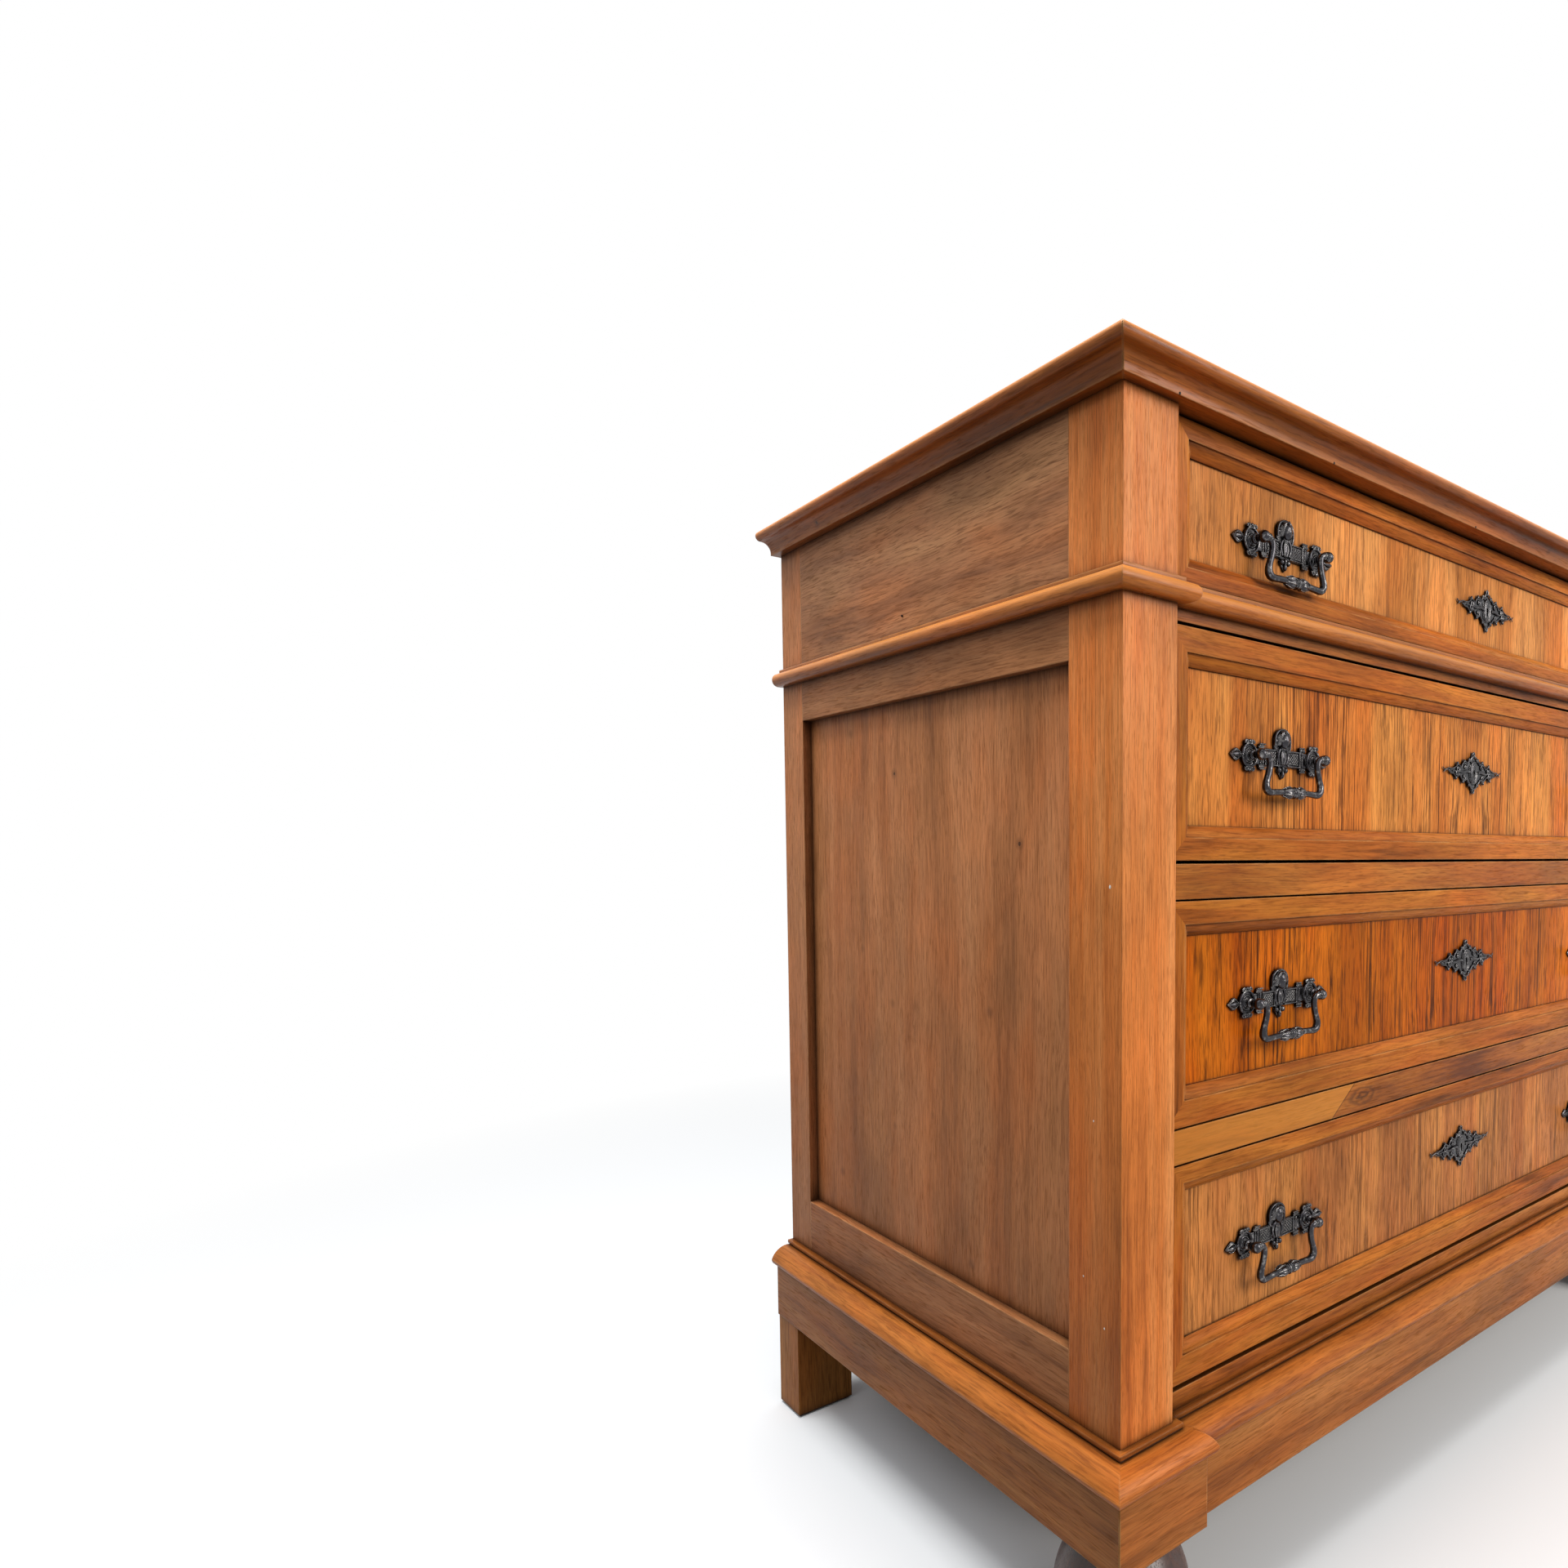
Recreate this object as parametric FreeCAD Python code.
"""Walnut chest of four drawers with break-front mouldings and cast bail pulls.

Frame: origin at the middle of the footprint on the floor, +X to the right,
+Y to the back, +Z up. The drawers face -Y. Everything is in millimetres.
"""
import FreeCAD, Part
import math
import os
from collections import namedtuple

V = FreeCAD.Vector
UP = V(0, 0, 1)

# ---------------------------------------------------------------- carcass
case_width = 1056.0          # over the outer faces of the corner posts
case_depth = 532.0           # front post face to the rear post's back face
post_front = 55.0            # front post, width seen from the front
post_side = 57.0             # front post, width seen from the side
post_proud = 10.0            # front posts stand this far ahead of the rails
rear_post_side = 45.0        # rear post, width seen from the side
rear_post_front = 30.0       # rear post, thickness across the chest
side_thickness = 22.0        # frieze boards and side rails
rail_depth = 45.0            # front rails, front to back
rail_height = 27.0           # rails between the drawers
bottom_rail_height = 60.0
tenon_length = 20.0
tenon_thickness = 9.0
tenon_shoulder = 5.0         # rail left above and below a tenon

# ---------------------------------------------------------------- side panels
panel_bottom = 237.5         # lower edge of the panel opening
panel_top = 757.0            # upper edge of the panel opening
panel_recess = 9.5           # panel face behind the frame face
panel_thickness = 8.0
panel_tongue = 8.0           # panel edge held in the groove
groove_slack = 1.0           # groove deeper than the tongue
frieze_board_bottom = 806.5
side_bottom_rail_base = 140.0

# ---------------------------------------------------------------- plinth and feet
foot_height = 102.0          # floor to the plinth's lower edge
plinth_height = 57.0         # flat plinth board
plinth_thickness = 19.0
bottom_rail_show = 15.0      # bottom rail seen above the plinth cap
cap_height = 24.5            # moulding on the plinth board
cap_reach = 25.5
cap_fillet_reach = 6.0
cap_fillet_height = 3.4
cap_quirk = 1.6              # dark groove under the fillet
cap_nose_drop = 17.5         # widest point below the moulding's top
bun_radius = 54.0
bun_centre_in = 38.4         # bun axis behind both outer post faces
bun_equator = 42.0           # height of the widest point
bun_sole_radius = 36.0
bun_neck_radius = 37.0
bun_neck_height = 12.0
bun_neck_step = 6.0          # bun meets its neck inside the neck's edge
bun_bands = 3                # turned steps from the equator to each end
bun_sides = 16               # flats round the bun
spigot_radius = 11.0
spigot_length = 30.0
spigot_clearance = 0.3
rear_foot_front = 64.0       # rear block foot, width seen from the front
rear_foot_inset = 1.5        # foot face behind the plinth face
rear_foot_wear = 3.0         # worn lower edges

# ---------------------------------------------------------------- waist moulding
waist_height = 18.0
waist_radius = 7.0
waist_centre_out = 6.0       # centre of the half-round ahead of the case
waist_fillet_reach = 4.5

# ---------------------------------------------------------------- cornice
cornice_height = 22.5
cornice_reach = 26.5
cornice_inner = 45.0         # cornice frame behind the post faces
cornice_nose = 10.0          # thickness of the round nose
cornice_foot_reach = 9.5
cornice_foot_height = 1.8    # small square at the cavetto's foot
cornice_step_in = 1.5        # cavetto starts behind the nose
back_overhang = 5.0

# ---------------------------------------------------------------- back and runners
back_thickness = 12.0
back_rebate = 12.0
back_board_count = 5
back_base = 120.0
runner_width = 58.0
guide_height = 24.0
kicker_height = 12.0

# ---------------------------------------------------------------- drawers
DrawerSize = namedtuple("DrawerSize", "number opening gap_below gap_above frame_top "
                        "frame_bottom pull_drop key_rise key_shift tails")
drawer_sizes = (             # from the bottom of the chest upwards
    DrawerSize(4, 178.5, 4.0, 1.5, 14.5, 21.5, 2.5, 9.0, -2.5, 4),
    DrawerSize(3, 177.0, 1.5, 1.5, 18.0, 20.5, 0.5, 9.0, -1.0, 4),
    DrawerSize(2, 180.0, 2.5, 2.5, 19.0, 17.5, 1.5, 4.5, 6.0, 4),
    DrawerSize(1, 122.5, 2.0, 2.0, 14.0, 12.0, 8.0, -1.0, 27.0, 3),
)
drawer_side_gap = 1.0
front_thickness = 26.0
front_stile = 21.0           # upright edge of the front's frame
bead_width = 9.0             # moulding between the frame and the sunk panel
sunk_depth = 9.0
frame_step = 1.6             # small square where the moulding leaves the frame
box_back_gap = 14.0          # closed drawer's end to the back boards
side_board = 12.0
back_board = 10.0
bottom_board = 7.0
bottom_rise = 6.0            # bottom board above the side's lower edge
bottom_groove = 5.0
run_clearance = 0.3
side_top_gap = 12.5          # side's upper edge below the opening's top
back_drop = 10.0             # back board lower than the sides
tail_length = 15.0
tail_slope = 6.0             # one in six
tail_share = 0.62            # tail root as a share of the pitch

# ---------------------------------------------------------------- locks
lock_width = 60.0
lock_below_key = 26.0
lock_above_key = 24.0
lock_depth = 12.0
lock_plate = 2.0
bolt_width = 16.0
bolt_thickness = 5.0
bolt_clearance = 0.3
bolt_travel = 7.0
bolt_mortise_spare = 2.0       # room above the thrown bolt
bolt_mortise_depth = bolt_travel + bolt_mortise_spare
bolt_tail_below_key = 10.0
bolt_top_inset = 0.2
key_bow_radius = 3.2
key_bow_sides = 6            # flats round the bow above the slot
key_slot_width = 3.0
key_slot_drop = 8.0

# ---------------------------------------------------------------- pulls
pull_inset = 203.4           # pull's middle from the outer post face
plate_thickness = 3.0
ball_spacing = 87.0          # between the two ball heads
ball_radius = 4.8
ball_out = 14.5              # ball centre ahead of the sunk panel
stem_radius = 2.8
collar_radius = 4.4
collar_out = 6.4             # collar's edge ahead of the sunk panel
rosette_radius = 10.0
rosette_bevel = 1.8
finial_length = 14.0
finial_half_width = 5.2
# bud outline from root to tip: share of its length beyond the rosette, share of its half width
finial_outline = ((0.14, 0.5), (0.33, 1.0), (0.57, 0.75))
finial_root_share = 0.3        # half width where it grows out of the rosette
body_length = 54.0
body_half_height = 7.2
ear_size = 5.0
ear_reach = 11.0
bridge_half_height = 3.4
neck_width = 8.0
head_rise = 14.6
head_half_width = 6.6
head_half_height = 7.6
head_depth = 6.5
hood_margin = 1.3            # hair beyond the face all round
hood_depth = 5.0
pendant_drop = 17.6
pendant_half_width = 6.9
pin_radius = 2.0
pin_clearance = 0.3
pin_depth = 0.8              # pin's end past the ball's centre
bail_radius = 3.1
bail_gap = 0.4               # rod shoulder to the ball head
bail_top_half = 33.5
bail_low_half = 38.0
bail_drop = 29.5
bail_shoulder_radius = 3.4
bail_corner_radius = 8.5
grip_radius = 5.1
grip_half_length = 13.0
grip_neck_radius = 3.6
metal_sides = 6              # flats round the cast rods and knobs

# ---------------------------------------------------------------- escutcheons
shield_half_width = 64.0
shield_half_height = 22.5
# key plate outline from side tip to top tip: shares of the half width and the half height
shield_outline = ((1.0, 0.09), (0.89, 0.19), (0.72, 0.14), (0.64, 0.42), (0.42, 0.49),
                  (0.28, 0.63), (0.14, 0.65), (0.056, 0.83), (0.04, 1.0))
shield_thickness = 2.4
shield_boss_half_width = 7.5
shield_boss_half_height = 13.0
shield_boss_rise = 1.6

# ---------------------------------------------------------------- worked out
cap_base = foot_height + plinth_height
cap_top = cap_base + cap_height
bottom_rail_top = cap_top + bottom_rail_show
openings_height = sum(size.opening for size in drawer_sizes)
cornice_base = bottom_rail_top + openings_height + rail_height * (len(drawer_sizes) - 1)
total_height = cornice_base + cornice_height
post_y = -(case_depth + back_overhang - cornice_reach) / 2.0
back_y = post_y + case_depth
rail_y = post_y + post_proud
post_x = case_width / 2.0
opening_x = post_x - post_front
front_back_y = rail_y + front_thickness
sunk_y = rail_y + sunk_depth
side_inner_x = post_x - side_thickness
rear_post_y = back_y - rear_post_side
guide_front_y = post_y + post_side
drawer_half_width = opening_x - drawer_side_gap
box_end_y = back_y - back_thickness - box_back_gap


def box(x_range, y_range, z_range):
    """Return a box from three (low, high) pairs."""
    size = [high - low for low, high in (x_range, y_range, z_range)]
    corner = V(x_range[0], y_range[0], z_range[0])
    return Part.makeBox(size[0], size[1], size[2], corner)


def mirrored(x_range):
    """Return the (low, high) pair reflected in the middle of the chest."""
    return (-x_range[1], -x_range[0])


def cylinder(radius, start, end):
    """Return a cylinder between two points."""
    axis = end - start
    return Part.makeCylinder(radius, axis.Length, start, axis)


def prism(points, direction):
    """Extrude the closed polygon through points along direction."""
    wire = Part.makePolygon(list(points) + [points[0]])
    return Part.Face(wire).extrude(direction)


def fused(shapes):
    """Fuse shapes into one solid without leftover seams."""
    first = shapes[0]
    return first.fuse(list(shapes[1:])).removeSplitter()


def outline_face(start, steps, place):
    """Return a face whose edge runs through steps: (end) lines and (middle, end) arcs."""
    edges = []
    here = start
    for step in steps:
        if len(step) == 1:
            edges.append(Part.LineSegment(place(here), place(step[0])).toShape())
        else:
            edges.append(Part.Arc(place(here), place(step[0]), place(step[1])).toShape())
        here = step[-1]
    edges.append(Part.LineSegment(place(here), place(start)).toShape())
    return Part.Face(Part.Wire(edges))


def lofted(rings):
    """Return the flat-faced solid that joins rings of points, closed at both ends."""
    outlines = [rings[0], rings[-1]]
    for lower, upper in zip(rings, rings[1:]):
        for i in range(len(lower)):
            outlines.append([lower[i - 1], lower[i], upper[i], upper[i - 1]])
    shell = Part.makeShell([Part.Face(Part.makePolygon(outline + [outline[0]])) for outline in outlines])
    shell.sewShape()
    solid = Part.makeSolid(shell)
    if solid.Volume < 0.0:
        solid.reverse()
    return solid


def oval_ring(centre, half_x, half_z):
    """Return the corners of an upright oval round centre, flats at its sides and ends."""
    corners = []
    for i in range(metal_sides):
        turn = 2.0 * math.pi * (i + 0.5) / metal_sides
        corners.append(centre + V(half_x * math.cos(turn), 0, half_z * math.sin(turn)))
    return corners


def turned_out(centre, stations):
    """Return a knob turned round the -Y line through centre from (out, radius) stations."""
    return lofted([oval_ring(centre - V(0, out, 0), radius, radius) for out, radius in stations])


# -------------------------------------------------------------------- mouldings
def cornice_section():
    """Round nose over a cavetto, as (start, steps) in (out, up) from the frame's foot."""
    nose_radius = cornice_nose / 2.0
    nose_out = cornice_reach - nose_radius
    nose_base = cornice_height - cornice_nose
    cove_start = (cornice_reach - nose_radius - cornice_step_in, nose_base)
    cove_end = (cornice_foot_reach, cornice_foot_height)
    lean = (cove_start[0] - cove_end[0]) * math.cos(math.pi / 4)
    rise = (cove_start[1] - cove_end[1]) * math.sin(math.pi / 4)
    middle = (cove_start[0] - lean, cove_end[1] + rise)
    steps = [
        ((cornice_foot_reach, 0.0),),
        (cove_end,),
        (middle, cove_start),
        ((nose_out, nose_base),),
        ((cornice_reach, nose_base + nose_radius), (nose_out, cornice_height)),
        ((-cornice_inner, cornice_height),),
    ]
    return (-cornice_inner, 0.0), steps


def waist_section():
    """Half-round with a fillet on top."""
    round_top = 2.0 * waist_radius
    steps = [
        ((waist_centre_out, 0.0),),
        ((waist_centre_out + waist_radius, waist_radius), (waist_centre_out, round_top)),
        ((waist_fillet_reach, round_top),),
        ((waist_fillet_reach, waist_height),),
        ((0.0, waist_height),),
    ]
    return (0.0, 0.0), steps


def cap_section():
    """Fillet, quirk and big quarter round that rolls under to the plinth board."""
    fillet_base = cap_height - cap_fillet_height
    nose_up = cap_height - cap_nose_drop
    shoulder = (cap_fillet_reach + cap_quirk, fillet_base - cap_quirk)
    swell = ((shoulder[0] + cap_reach) / 2.0 + 2.4, (shoulder[1] + nose_up) / 2.0 + 2.4)
    steps = [
        ((plinth_thickness, 0.0),),
        ((plinth_thickness + 4.6, 2.0), (cap_reach, nose_up),),
        (swell, shoulder),
        ((cap_fillet_reach - cap_quirk, shoulder[1]),),
        ((cap_fillet_reach - cap_quirk, fillet_base),),
        ((cap_fillet_reach, fillet_base),),
        ((cap_fillet_reach, cap_height),),
        ((0.0, cap_height),),
    ]
    return (0.0, 0.0), steps


def plan_normal(start, end):
    """Return the outward normal of a run seen from above, walking left to front to right."""
    along = end - start
    along.normalize()
    return V(along.y, -along.x, 0)


def mitred_runs(section, path, base_z, corners_open=(None, None)):
    """Extrude the section along each run of path and mitre it at the corners.

    corners_open holds the mitre directions at the two ends of the path, where
    another piece continues the moulding; None leaves a square end.
    """
    start, steps = section
    reach = 2.0 * max(cornice_reach, cap_reach)
    inner = min(0.0, start[0])
    normals = [plan_normal(path[i], path[i + 1]) for i in range(len(path) - 1)]
    mitres = [corners_open[0] or normals[0]]
    mitres += [normals[i] + normals[i + 1] for i in range(len(normals) - 1)]
    mitres.append(corners_open[1] or normals[-1])
    runs = []
    for i, normal in enumerate(normals):
        begin = path[i]
        end = path[i + 1]
        along = end - begin
        along.normalize()
        extra = along * reach
        origin = begin - extra + UP * base_z

        def place(point):
            return origin + normal * point[0] + UP * point[1]

        bar = outline_face(start, steps, place).extrude(end - begin + extra * 2.0)
        plan = [begin + mitres[i] * inner, begin + mitres[i] * reach,
                end + mitres[i + 1] * reach, end + mitres[i + 1] * inner]
        low = UP * (base_z - 1.0)
        window = prism([point + low for point in plan], UP * (total_height + 2.0))
        runs.append(bar.common(window))
    return fused(runs) if len(runs) > 1 else runs[0]


def side_path(side, back):
    """Return the path of a side run in walking order: left back to front, right front to back."""
    ends = [V(side * post_x, back, 0), V(side * post_x, post_y, 0)]
    return ends if side < 0 else list(reversed(ends))


def front_path():
    """Return the break-front path: round both posts, set back across the drawers."""
    left = [V(-post_x, post_y, 0), V(-opening_x, post_y, 0), V(-opening_x, rail_y, 0)]
    right = [V(-point.x, point.y, 0) for point in reversed(left)]
    return left + right


def moulding_set(section, path, base_z, back):
    """Return the front run and the two side runs of one moulding, mitred at the corners."""
    corner_left = V(-1, -1, 0)
    corner_right = V(1, -1, 0)
    front = mitred_runs(section, path, base_z, (corner_left, corner_right))
    left = mitred_runs(section, side_path(-1, back), base_z, (None, corner_left))
    right = mitred_runs(section, side_path(1, back), base_z, (corner_right, None))
    return front, left, right


# -------------------------------------------------------------------- carcass pieces
def rail_levels():
    """Return {drawer number: (opening base, opening top)}, bottom drawer first."""
    levels = {}
    base = bottom_rail_top
    for size in drawer_sizes:
        levels[size.number] = (base, base + size.opening)
        base += size.opening + rail_height
    return levels


def tenon(side, y_range, z_range):
    """Return the tenon that a rail's end drives into a front post."""
    x_range = (opening_x, opening_x + tenon_length)
    return box(x_range if side > 0 else mirrored(x_range), y_range, z_range)


def front_rail(z_low, z_high):
    """Return a front rail with a tenon at each end."""
    middle = rail_y + rail_depth / 2.0
    tongue = (middle - tenon_thickness / 2.0, middle + tenon_thickness / 2.0)
    body = box((-opening_x, opening_x), (rail_y, rail_y + rail_depth), (z_low, z_high))
    tenons = [tenon(side, tongue, (z_low + tenon_shoulder, z_high - tenon_shoulder)) for side in (-1, 1)]
    return fused([body] + tenons)


def bolt_mortise(z_base, x_centre):
    """Return the hole that a lock bolt is thrown up into."""
    half = bolt_width / 2.0 + bolt_clearance
    depth_low, depth_high = bolt_y_range()
    y_range = (depth_low - bolt_clearance, depth_high + bolt_clearance)
    return box((x_centre - half, x_centre + half), y_range, (z_base - 1.0, z_base + bolt_mortise_depth))


def drawer_rails(levels):
    """Return the three rails between the drawers, mortised for the bolts below them."""
    rails = []
    for size in drawer_sizes[:-1]:
        base = levels[size.number][1]
        rails.append(front_rail(base, base + rail_height).cut(bolt_mortise(base, size.key_shift)))
    return rails


def panel_groove(side):
    """Return the space that the side panel and its groove take."""
    outer = post_x - panel_recess
    x_range = (outer - panel_thickness, outer)
    reach = panel_tongue + groove_slack
    y_range = (guide_front_y - reach, rear_post_y + reach)
    z_range = (panel_bottom - reach, panel_top + reach)
    return box(x_range if side > 0 else mirrored(x_range), y_range, z_range)


def side_panel(side):
    """Return the sunk side panel with its tongue all round."""
    outer = post_x - panel_recess
    x_range = (outer - panel_thickness, outer)
    y_range = (guide_front_y - panel_tongue, rear_post_y + panel_tongue)
    z_range = (panel_bottom - panel_tongue, panel_top + panel_tongue)
    return box(x_range if side > 0 else mirrored(x_range), y_range, z_range)


def side_rail(side, z_range):
    """Return a side frame rail tenoned into both posts and grooved for the panel."""
    x_range = (side_inner_x, post_x)
    thick = (side_inner_x + tenon_shoulder, side_inner_x + tenon_shoulder + tenon_thickness)
    if side < 0:
        x_range = mirrored(x_range)
        thick = mirrored(thick)
    body = box(x_range, (guide_front_y, rear_post_y), z_range)
    tongue_z = (z_range[0] + tenon_shoulder * 2.0, z_range[1] - tenon_shoulder * 2.0)
    tongue = box(thick, (guide_front_y - tenon_length, rear_post_y + tenon_length), tongue_z)
    return fused([body, tongue]).cut(panel_groove(side))


def side_rails():
    """Return the upper and lower side rails, left then right."""
    upper = (panel_top, frieze_board_bottom)
    lower = (side_bottom_rail_base, panel_bottom)
    return [side_rail(side, z_range) for side in (-1, 1) for z_range in (upper, lower)]


def side_frieze_board(side):
    """Return the flush board above the waist moulding."""
    x_range = (side_inner_x, post_x)
    return box(x_range if side > 0 else mirrored(x_range), (guide_front_y, rear_post_y),
               (frieze_board_bottom, cornice_base))


def bun_axis(side):
    """Return the floor point under a bun foot's axis."""
    return V(side * (post_x - bun_centre_in), post_y + bun_centre_in, 0)


def front_post(side, joined):
    """Return a front post cut for everything that is let into it."""
    x_range = (opening_x, post_x)
    post = box(x_range if side > 0 else mirrored(x_range), (post_y, guide_front_y),
               (foot_height, cornice_base))
    axis = bun_axis(side)
    bore = cylinder(spigot_radius + spigot_clearance, axis + UP * (foot_height - 1.0),
                    axis + UP * (foot_height + spigot_length + 1.0))
    return post.cut([panel_groove(side), bore] + joined)


def rear_post(side, joined):
    """Return a rear post, rebated for the back boards."""
    x_range = (post_x - rear_post_front, post_x)
    rebate_x = (post_x - rear_post_front, post_x - rear_post_front + back_rebate)
    if side < 0:
        x_range = mirrored(x_range)
        rebate_x = mirrored(rebate_x)
    post = box(x_range, (rear_post_y, back_y), (foot_height, cornice_base))
    rebate = box(rebate_x, (back_y - back_thickness, back_y), (back_base, cornice_base))
    return post.cut([panel_groove(side), rebate] + joined)


def bun_curve(radius, height):
    """Return (radius, height) steps from the bun's equator round to the given point."""
    inset = bun_radius - radius
    rise = height - bun_equator
    arc_radius = (inset ** 2 + rise ** 2) / (2.0 * inset)
    turn = math.asin(rise / arc_radius)
    points = []
    for i in range(1, bun_bands + 1):
        angle = turn * i / bun_bands
        points.append((bun_radius - arc_radius * (1.0 - math.cos(angle)),
                       bun_equator + arc_radius * math.sin(angle)))
    return points


def bun_foot(side):
    """Return a turned, squashed bun with its neck and spigot."""
    shoulder = foot_height - bun_neck_height
    below = bun_curve(bun_sole_radius, 0.0)
    above = bun_curve(bun_neck_radius - bun_neck_step, shoulder)
    profile = list(reversed(below)) + [(bun_radius, bun_equator)] + above
    profile += [(bun_neck_radius, shoulder + bun_neck_height * 0.45), (bun_neck_radius, foot_height)]
    axis = bun_axis(side)
    rings = []
    for radius, height in profile:
        turns = [2.0 * math.pi * (i + 0.5) / bun_sides for i in range(bun_sides)]
        rings.append([axis + V(radius * math.cos(turn), radius * math.sin(turn), height) for turn in turns])
    spigot = cylinder(spigot_radius, axis + UP * shoulder, axis + UP * (foot_height + spigot_length))
    return lofted(rings).fuse(spigot)


def rear_foot(side):
    """Return the rear block foot with worn lower edges."""
    outer = post_x + plinth_thickness - rear_foot_inset
    x_range = (outer - rear_foot_front, outer)
    block = box(x_range if side > 0 else mirrored(x_range), (rear_post_y, back_y), (0.0, foot_height))
    low_edges = [edge for edge in block.Edges if edge.BoundBox.ZMax < 0.5]
    return block.makeChamfer(rear_foot_wear, low_edges)


def plinth_sides():
    """Return the two plinth side boards, mitred at the front corners."""
    boards = []
    for side in (-1, 1):
        outer = side * (post_x + plinth_thickness)
        plan = [V(outer, post_y - plinth_thickness, foot_height), V(side * post_x, post_y, foot_height),
                V(side * post_x, back_y, foot_height), V(outer, back_y, foot_height)]
        boards.append(prism(plan, UP * plinth_height))
    return boards


def plinth_corner_block(side):
    """Return the block that carries the plinth forward round a front post."""
    lead = post_y - plinth_thickness
    wrap_x = opening_x - plinth_thickness
    corners = [(post_x + plinth_thickness, lead), (wrap_x, lead), (wrap_x, rail_y - plinth_thickness),
               (opening_x, rail_y - plinth_thickness), (opening_x, post_y), (post_x, post_y)]
    plan = [V(side * x, y, foot_height) for x, y in corners]
    return prism(plan, UP * plinth_height)


def plinth_front():
    """Return the centre plinth board, set back between the corner blocks."""
    return box((-opening_x, opening_x), (rail_y - plinth_thickness, rail_y), (foot_height, cap_base))


def top_board():
    """Return the top panel held inside the mitred cornice."""
    half = post_x - cornice_inner
    return box((-half, half), (post_y + cornice_inner, back_y + back_overhang), (cornice_base, total_height))


def back_boards():
    """Return the upright boards that close the back."""
    half = post_x - rear_post_front + back_rebate
    width = 2.0 * half / back_board_count
    return [box((-half + width * i, -half + width * (i + 1)), (back_y - back_thickness, back_y),
                (back_base, cornice_base)) for i in range(back_board_count)]


def runners(levels):
    """Return runners and guides for each drawer, and the kickers above the top one."""
    pieces = []
    inner = side_inner_x - runner_width
    rail_back = rail_y + rail_depth
    for side in (-1, 1):
        for base, _ in levels.values():
            corners = [(inner, rail_back), (opening_x, rail_back), (opening_x, guide_front_y),
                       (side_inner_x, guide_front_y), (side_inner_x, rear_post_y), (inner, rear_post_y)]
            plan = [V(side * x, y, base - rail_height) for x, y in corners]
            pieces.append(prism(plan, UP * rail_height))
            guide_x = (opening_x, side_inner_x)
            pieces.append(box(guide_x if side > 0 else mirrored(guide_x), (guide_front_y, rear_post_y),
                              (base, base + guide_height)))
        kicker_x = (inner, side_inner_x)
        pieces.append(box(kicker_x if side > 0 else mirrored(kicker_x), (guide_front_y, rear_post_y),
                          (cornice_base - kicker_height, cornice_base)))
    return pieces


# -------------------------------------------------------------------- drawers
def front_frame(size, base, top):
    """Return the sunk panel's x and z ranges inside the moulded frame."""
    edge = front_stile + bead_width
    x_range = (-drawer_half_width + edge, drawer_half_width - edge)
    z_range = (base + size.gap_below + size.frame_bottom + bead_width,
               top - size.gap_above - size.frame_top - bead_width)
    return x_range, z_range


def bead_section():
    """Ovolo between the sunk panel and the frame, as (in from the frame, down from its face)."""
    steps = [
        ((bead_width, 0.0),),
        ((bead_width, sunk_depth - frame_step),),
        ((bead_width * 0.36, (sunk_depth - frame_step) * 0.64), (0.0, frame_step),),
    ]
    return (0.0, 0.0), steps


def bead_ring(x_range, z_range):
    """Return the four mitred ovolo strips round the sunk panel."""
    corners = [V(x_range[0], sunk_y, z_range[0]), V(x_range[1], sunk_y, z_range[0]),
               V(x_range[1], sunk_y, z_range[1]), V(x_range[0], sunk_y, z_range[1])]
    strips = []
    start, steps = bead_section()
    for i in range(4):
        begin = corners[i]
        end = corners[(i + 1) % 4]
        along = end - begin
        along.normalize()
        outward = V(along.z, 0, -along.x)
        origin = begin - along * bead_width

        def place(point):
            return origin + outward * point[0] + V(0, -point[1], 0)

        bar = outline_face(start, steps, place).extrude(end - begin + along * bead_width * 2.0)
        wide = bead_width * 2.0
        plan = [begin, end, end + (outward + along) * wide, begin + (outward - along) * wide]
        window = prism([point + V(0, 1.0, 0) for point in plan], V(0, -sunk_depth - 2.0, 0))
        strips.append(bar.common(window))
    return strips


def tails(side, y_root, y_end, z_low, z_high, count):
    """Return the dovetails of a drawer side between y_root and y_end."""
    pitch = (z_high - z_low) / count
    root = pitch * tail_share / 2.0
    flare = abs(y_end - y_root) / tail_slope
    x_outer = side * drawer_half_width
    shapes = []
    for i in range(count):
        middle = z_low + pitch * (i + 0.5)
        plan = [V(x_outer, y_root, middle - root), V(x_outer, y_root, middle + root),
                V(x_outer, y_end, middle + root + flare), V(x_outer, y_end, middle - root - flare)]
        shapes.append(prism(plan, V(-side * side_board, 0, 0)))
    return shapes


def bolt_y_range():
    """Return the bolt's front and back faces inside the drawer front."""
    back = front_back_y - lock_plate - bolt_clearance
    return back - bolt_thickness, back


def key_height(size, base, top):
    """Return the height of the keyhole's bow."""
    z_range = front_frame(size, base, top)[1]
    return (z_range[0] + z_range[1]) / 2.0 + size.key_rise


def keyhole(x_centre, z_centre, y_range):
    """Return the keyhole's space through y_range."""
    half = key_slot_width / 2.0
    points = [V(x_centre - half, y_range[0], z_centre - key_slot_drop),
              V(x_centre + half, y_range[0], z_centre - key_slot_drop)]
    for i in range(key_bow_sides + 1):
        turn = math.radians(-60.0 + 300.0 * i / key_bow_sides)
        points.append(V(x_centre + key_bow_radius * math.cos(turn), y_range[0],
                        z_centre + key_bow_radius * math.sin(turn)))
    return prism(points, V(0, y_range[1] - y_range[0], 0))


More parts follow.
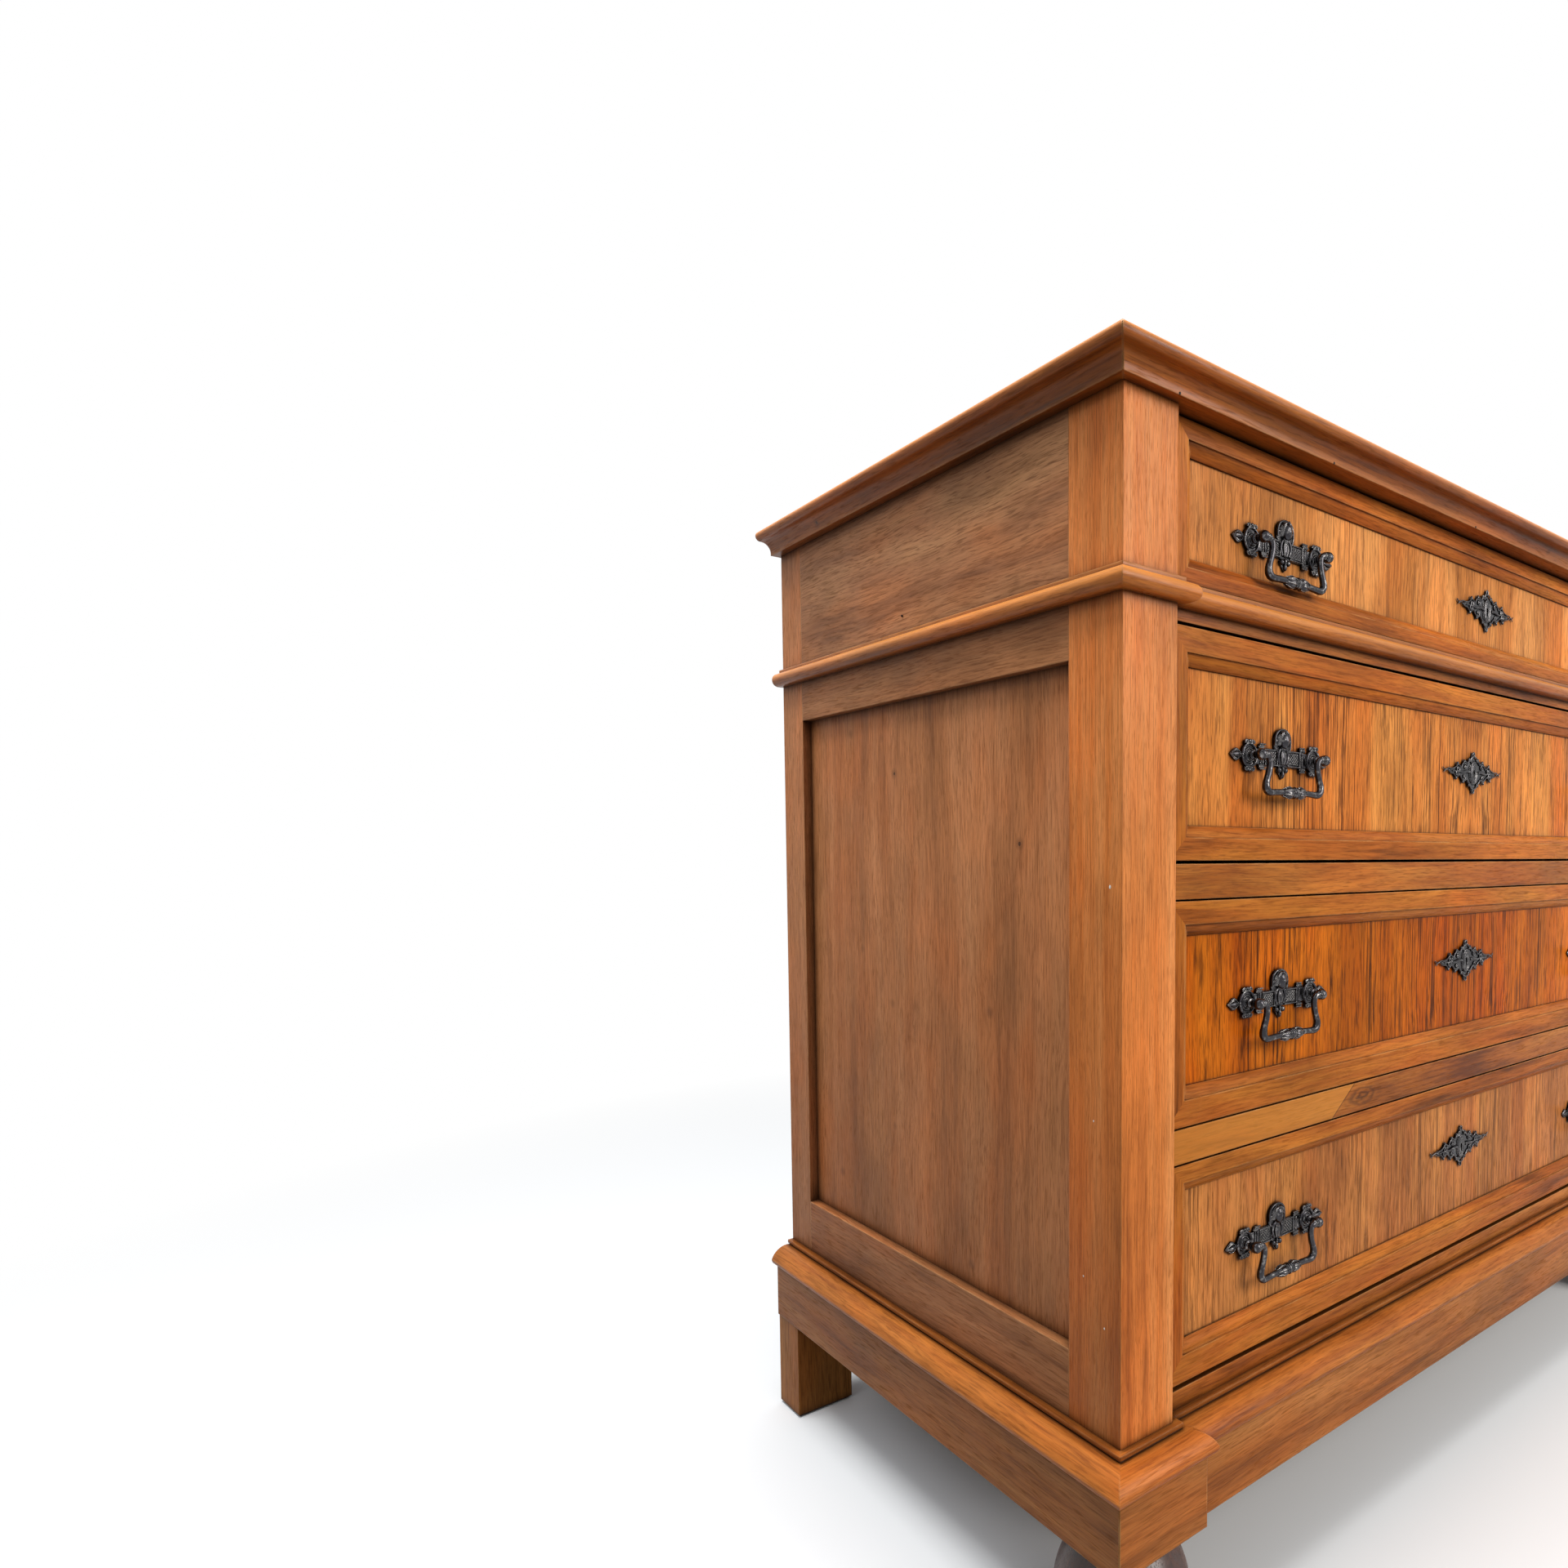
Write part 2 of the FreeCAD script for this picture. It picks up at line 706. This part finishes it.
def lock_space(size, z_key, front_top):
    """Return the recess and bolt channel cut into the back of a drawer front."""
    half = lock_width / 2.0
    recess = box((size.key_shift - half, size.key_shift + half), (front_back_y - lock_depth, front_back_y),
                 (z_key - lock_below_key, z_key + lock_above_key))
    channel_half = bolt_width / 2.0 + bolt_clearance
    channel = box((size.key_shift - channel_half, size.key_shift + channel_half),
                  (bolt_y_range()[0] - bolt_clearance, front_back_y), (z_key, front_top))
    return recess.fuse(channel)


def lock_case(size, z_key, front_top):
    """Return the lock: its case and the face plate over the bolt's channel."""
    half = lock_width / 2.0
    x_centre = size.key_shift
    case_front = front_back_y - lock_depth
    case = box((x_centre - half, x_centre + half), (case_front, front_back_y),
               (z_key - lock_below_key, z_key + lock_above_key))
    channel_half = bolt_width / 2.0 + bolt_clearance
    channel_x = (x_centre - channel_half, x_centre + channel_half)
    plate = box(channel_x, (front_back_y - lock_plate, front_back_y), (z_key, front_top))
    slot_y = (bolt_y_range()[0] - bolt_clearance, bolt_y_range()[1] + bolt_clearance)
    slot = box(channel_x, slot_y, (z_key - bolt_tail_below_key - bolt_clearance, z_key + lock_above_key))
    entry = keyhole(x_centre, z_key, (case_front - 1.0, bolt_y_range()[0]))
    return fused([case.cut([slot, entry]), plate])


def lock_bolt(size, z_key, front_top):
    """Return the sliding bolt, drawn back flush with the drawer's top edge."""
    half = bolt_width / 2.0
    return box((size.key_shift - half, size.key_shift + half), bolt_y_range(),
               (z_key - bolt_tail_below_key, front_top - bolt_top_inset))


def pull_centres(size, base, top):
    """Return the middles of the left and right pulls on the sunk panel."""
    z_range = front_frame(size, base, top)[1]
    height = (z_range[0] + z_range[1]) / 2.0 - size.pull_drop
    offset = post_x - pull_inset
    return [V(side * offset, sunk_y, height) for side in (-1, 1)]


def drawer_pieces(size, base, top):
    """Return the wooden pieces and the lock of one drawer as {name: shapes}."""
    x_range, z_range = front_frame(size, base, top)
    front_base = base + size.gap_below
    front_top = top - size.gap_above
    z_key = key_height(size, base, top)
    side_base = base + run_clearance
    side_top = top - side_top_gap
    back_front_y = box_end_y - back_board
    tail_zone = (max(front_base, side_base) + 2.0, side_top - 2.0)

    blank = box((-drawer_half_width, drawer_half_width), (rail_y, front_back_y), (front_base, front_top))
    sink = box((x_range[0] - bead_width, x_range[1] + bead_width), (rail_y, sunk_y),
               (z_range[0] - bead_width, z_range[1] + bead_width))
    front = fused([blank.cut(sink)] + bead_ring(x_range, z_range))

    sides = []
    tail_sets = []
    rear_tails = []
    for side in (-1, 1):
        inner = side * (drawer_half_width - side_board)
        outer = side * drawer_half_width
        board = box((min(inner, outer), max(inner, outer)), (front_back_y, back_front_y),
                    (side_base, side_top))
        front_tails = tails(side, front_back_y, front_back_y - tail_length, *tail_zone, size.tails)
        rear = tails(side, back_front_y, box_end_y, tail_zone[0] + bottom_rise + bottom_board,
                     side_top - back_drop - 2.0, size.tails)
        tail_sets += front_tails
        rear_tails += rear
        sides.append(fused([board] + front_tails + rear))

    floor_z = side_base + bottom_rise
    floor_half = drawer_half_width - side_board + bottom_groove
    floor = box((-floor_half, floor_half), (front_back_y - bottom_groove, box_end_y),
                (floor_z, floor_z + bottom_board))
    back = box((-drawer_half_width, drawer_half_width), (back_front_y, box_end_y),
               (floor_z + bottom_board, side_top - back_drop))
    sides = [board.cut(floor) for board in sides]
    back = back.cut(rear_tails)
    entry = keyhole(size.key_shift, z_key, (rail_y, front_back_y))
    front = front.cut([floor, lock_space(size, z_key, front_top), entry] + tail_sets)
    return {
        "front": [front],
        "sides": sides,
        "back": [back],
        "bottom": [floor],
        "lock": [lock_case(size, z_key, front_top)],
        "bolt": [lock_bolt(size, z_key, front_top)],
    }


# -------------------------------------------------------------------- pulls
def finial(centre, hand):
    """Return the flattened pointed bud at a plate's end."""
    root = rosette_radius * 0.7
    tip = rosette_radius + finial_length
    edge = [(root, finial_half_width * finial_root_share)]
    edge += [(rosette_radius + finial_length * along, finial_half_width * across)
             for along, across in finial_outline]
    outline = edge + [(tip, 0.0)] + [(x, -z) for x, z in reversed(edge)]
    return prism([centre + V(hand * x, 0, z) for x, z in outline], V(0, -plate_thickness, 0))


def ball_post(centre, hand):
    """Return the rosette, collared stem and ball head of one pull post, bored for the bail's pin."""
    foot = turned_out(centre, [(0.0, rosette_radius), (plate_thickness, rosette_radius - rosette_bevel)])
    knob = turned_out(centre, [
        (0.0, stem_radius),
        (collar_out - 1.0, stem_radius),
        (collar_out, collar_radius),
        (collar_out + 1.0, stem_radius),
        (ball_out - ball_radius * 0.88, ball_radius * 0.5),
        (ball_out - ball_radius * 0.42, ball_radius),
        (ball_out + ball_radius * 0.42, ball_radius),
        (ball_out + ball_radius * 0.92, ball_radius * 0.5),
    ])
    head = centre - V(0, ball_out, 0)
    hole_radius = (pin_radius + pin_clearance) / math.cos(math.pi / metal_sides)
    hole = pin_bar(head - V(hand * (ball_radius + 1.0), 0, 0),
                   head + V(hand * (pin_depth + pin_clearance), 0, 0), hole_radius)
    return foot.fuse(knob.cut(hole))


def pin_bar(start, end, radius):
    """Return a straight bar with flats between two points of one height."""
    return rod([start, end], [radius, radius])


def plate_body(centre):
    """Return the middle of the plate with ears at its four corners."""
    half = body_length / 2.0
    front = centre.y - plate_thickness
    ear_in = half - ear_size / 2.0
    ear_out = half + ear_size / 2.0
    quarter = [(ear_in, body_half_height), (ear_in, ear_reach), (ear_out, ear_reach),
               (ear_out, bridge_half_height)]
    upper = quarter + [(ball_spacing / 2.0, bridge_half_height)]
    right = upper + [(x, -z) for x, z in reversed(upper)]
    ring = right + [(-x, z) for x, z in reversed(right)]
    return prism([V(centre.x + x, front, centre.z + z) for x, z in ring], V(0, plate_thickness, 0))


def mask(centre):
    """Return the small head over the plate: neck, hair and face as plain masses."""
    plate_y = centre.y - plate_thickness
    middle = V(centre.x, centre.y, centre.z + head_rise)
    hood_width = head_half_width + hood_margin
    hood_height = head_half_height + hood_margin
    hood = lofted([oval_ring(middle - V(0, out, 0), hood_width * share, hood_height * share)
                   for out, share in ((0.0, 1.0), (hood_depth, 0.85))])
    face = lofted([oval_ring(middle - V(0, out, 0), head_half_width * share, head_half_height * share)
                   for out, share in ((hood_depth - 1.0, 1.0), (plate_thickness + head_depth * 0.7, 0.8),
                                      (plate_thickness + head_depth, 0.4))])
    neck = box((centre.x - neck_width / 2.0, centre.x + neck_width / 2.0), (plate_y - 1.5, centre.y),
               (centre.z, middle.z))
    return hood.fuse([face, neck])


def pendant(centre):
    """Return the trefoil drop under the plate."""
    reach = pendant_drop
    side = [(2.2, -body_half_height + 1.0), (2.2, -reach + 9.6), (pendant_half_width, -reach + 8.6),
            (pendant_half_width, -reach + 5.0), (3.0, -reach + 3.4), (2.2, -reach)]
    outline = side + [(-x, z) for x, z in reversed(side)]
    return prism([centre + V(x, 0, z) for x, z in outline], V(0, -plate_thickness, 0))


def pull_plate(centre):
    """Return one cast back plate with its two ball posts."""
    pieces = [plate_body(centre), mask(centre), pendant(centre)]
    for hand in (-1, 1):
        post = centre + V(hand * ball_spacing / 2.0, 0, 0)
        pieces += [finial(post, hand), ball_post(post, hand)]
    return fused(pieces)


def rod(points, radii):
    """Return a rod along points of one XZ plane, mitred at each bend, with a radius at each point."""
    rings = []
    for i, (point, radius) in enumerate(zip(points, radii)):
        arriving = point - points[i - 1] if i > 0 else points[1] - point
        leaving = points[i + 1] - point if i < len(points) - 1 else V(arriving)
        arriving.normalize()
        leaving.normalize()
        along = arriving + leaving
        along.normalize()
        across = V(0, 1, 0).cross(along) * (radius / along.dot(leaving))
        depth = V(0, radius, 0)
        turns = [2.0 * math.pi * (k + 0.5) / metal_sides for k in range(metal_sides)]
        rings.append([point + depth * math.cos(turn) + across * math.sin(turn) for turn in turns])
    return lofted(rings)


def rounded_corner(before, corner, after, radius, count):
    """Return count + 1 points on the arc that rounds a corner."""
    inward = before - corner
    outward = after - corner
    inward.normalize()
    outward.normalize()
    half_angle = inward.getAngle(outward) / 2.0
    bisector = inward + outward
    bisector.normalize()
    centre = corner + bisector * (radius / math.sin(half_angle))
    first = corner + inward * (radius / math.tan(half_angle)) - centre
    last = corner + outward * (radius / math.tan(half_angle)) - centre
    sweep = first.getAngle(last)
    points = []
    for i in range(count + 1):
        share = i / count
        chord = first * math.sin((1.0 - share) * sweep) + last * math.sin(share * sweep)
        points.append(centre + chord * (1.0 / math.sin(sweep)))
    return points


def bail(axis):
    """Return the swinging handle: pivot pins, rod and turned grip in one casting."""
    shoulder = ball_spacing / 2.0 - ball_radius - bail_gap
    start = V(shoulder, 0, 0)
    top = V(bail_top_half, 0, 0)
    low = V(bail_low_half, 0, -bail_drop)
    middle = V(0, 0, -bail_drop)
    points = [start] + rounded_corner(start, top, low, bail_shoulder_radius, 2)
    points += rounded_corner(top, low, middle, bail_corner_radius, 2)
    radii = [bail_radius] * len(points)
    reach = grip_half_length
    for share, radius in ((1.0, bail_radius), (0.55, grip_radius), (0.15, grip_neck_radius)):
        points.append(V(reach * share, 0, -bail_drop))
        radii.append(radius)
    left = [V(-point.x, point.y, point.z) for point in points]
    path = [axis + point for point in left + list(reversed(points))]
    handle = rod(path, radii + list(reversed(radii)))
    pins = [pin_bar(axis + V(hand * (shoulder - 2.0), 0, 0),
                    axis + V(hand * (ball_spacing / 2.0 + pin_depth), 0, 0), pin_radius) for hand in (-1, 1)]
    return fused([handle] + pins)


def escutcheon(x_centre, z_centre):
    """Return the lozenge key plate with curled tips, boss and keyhole."""
    centre = V(x_centre, sunk_y, z_centre)
    quarter = [(shield_half_width * across, shield_half_height * up) for across, up in shield_outline]
    upper = quarter + [(-x, z) for x, z in reversed(quarter)]
    ring = upper + [(x, -z) for x, z in reversed(upper)]
    plate = prism([centre + V(x, 0, z) for x, z in ring], V(0, -shield_thickness, 0))
    crown = shield_thickness + shield_boss_rise
    boss = lofted([oval_ring(centre - V(0, out, 0), shield_boss_half_width * share,
                             shield_boss_half_height * share)
                   for out, share in ((0.0, 1.0), (shield_thickness, 1.0), (crown, 0.7))])
    return fused([plate, boss]).cut(keyhole(x_centre, z_centre, (sunk_y - crown - 1.0, sunk_y + 1.0)))


# -------------------------------------------------------------------- assembly
def carcass_nodes(levels):
    """Return the fixed pieces as {node: solids}."""
    rails = drawer_rails(levels)
    bottom_rail = front_rail(bottom_rail_top - bottom_rail_height, bottom_rail_top)
    rail_tenons = rails + [bottom_rail]
    sides = side_rails()
    posts_front = [front_post(side, rail_tenons + sides) for side in (-1, 1)]
    posts_rear = [rear_post(side, sides) for side in (-1, 1)]
    straight = [V(-post_x, post_y, 0), V(post_x, post_y, 0)]
    cornice = moulding_set(cornice_section(), straight, cornice_base, back_y + back_overhang)
    top_size = drawer_sizes[-1]
    cornice_front = cornice[0].cut(bolt_mortise(cornice_base, top_size.key_shift))
    waist_base = levels[top_size.number][0] - waist_height
    waist = moulding_set(waist_section(), front_path(), waist_base, back_y)
    cap = moulding_set(cap_section(), front_path(), cap_base, back_y)
    return {
        "top_board": [top_board()],
        "cornice_front": [cornice_front],
        "cornice_sides": list(cornice[1:]),
        "front_posts": posts_front,
        "rear_posts": posts_rear,
        "side_frieze_boards": [side_frieze_board(side) for side in (-1, 1)],
        "side_rails": sides,
        "side_panels": [side_panel(side) for side in (-1, 1)],
        "waist_moulding": list(waist),
        "drawer_rails": rails,
        "bottom_rail": [bottom_rail],
        "plinth_front": [plinth_front()],
        "plinth_corner_blocks": [plinth_corner_block(side) for side in (-1, 1)],
        "plinth_sides": plinth_sides(),
        "plinth_cap": list(cap),
        "bun_feet": [bun_foot(side) for side in (-1, 1)],
        "rear_feet": [rear_foot(side) for side in (-1, 1)],
        "back_boards": back_boards(),
        "drawer_runners": runners(levels),
    }


def drawer_nodes(size, base, top):
    """Return one drawer's pieces as {node: solids}."""
    prefix = "drawer_%d_" % size.number
    nodes = {prefix + name: shapes for name, shapes in drawer_pieces(size, base, top).items()}
    centres = pull_centres(size, base, top)
    nodes[prefix + "handle_plates"] = [pull_plate(centre) for centre in centres]
    for name, centre in zip(("bail_left", "bail_right"), centres):
        nodes[prefix + name] = [bail(centre - V(0, ball_out, 0))]
    nodes[prefix + "escutcheon"] = [escutcheon(size.key_shift, key_height(size, base, top))]
    return nodes


def main():
    """Build every piece and write one STEP file per node."""
    os.makedirs("parts", exist_ok=True)
    levels = rail_levels()
    nodes = carcass_nodes(levels)
    for size in drawer_sizes:
        base, top = levels[size.number]
        nodes.update(drawer_nodes(size, base, top))
    for name, shapes in nodes.items():
        solids = [solid for shape in shapes for solid in shape.Solids]
        whole = solids[0] if len(solids) == 1 else Part.makeCompound(solids)
        whole.exportStep("parts/%s.step" % name)
        print("%-26s %2d solid(s) %s" % (name, len(solids), "valid" if whole.isValid() else "BROKEN"))
    print("openings", {number: level for number, level in levels.items()})
    print("height", total_height, "post_y", post_y, "back_y", back_y)


main()
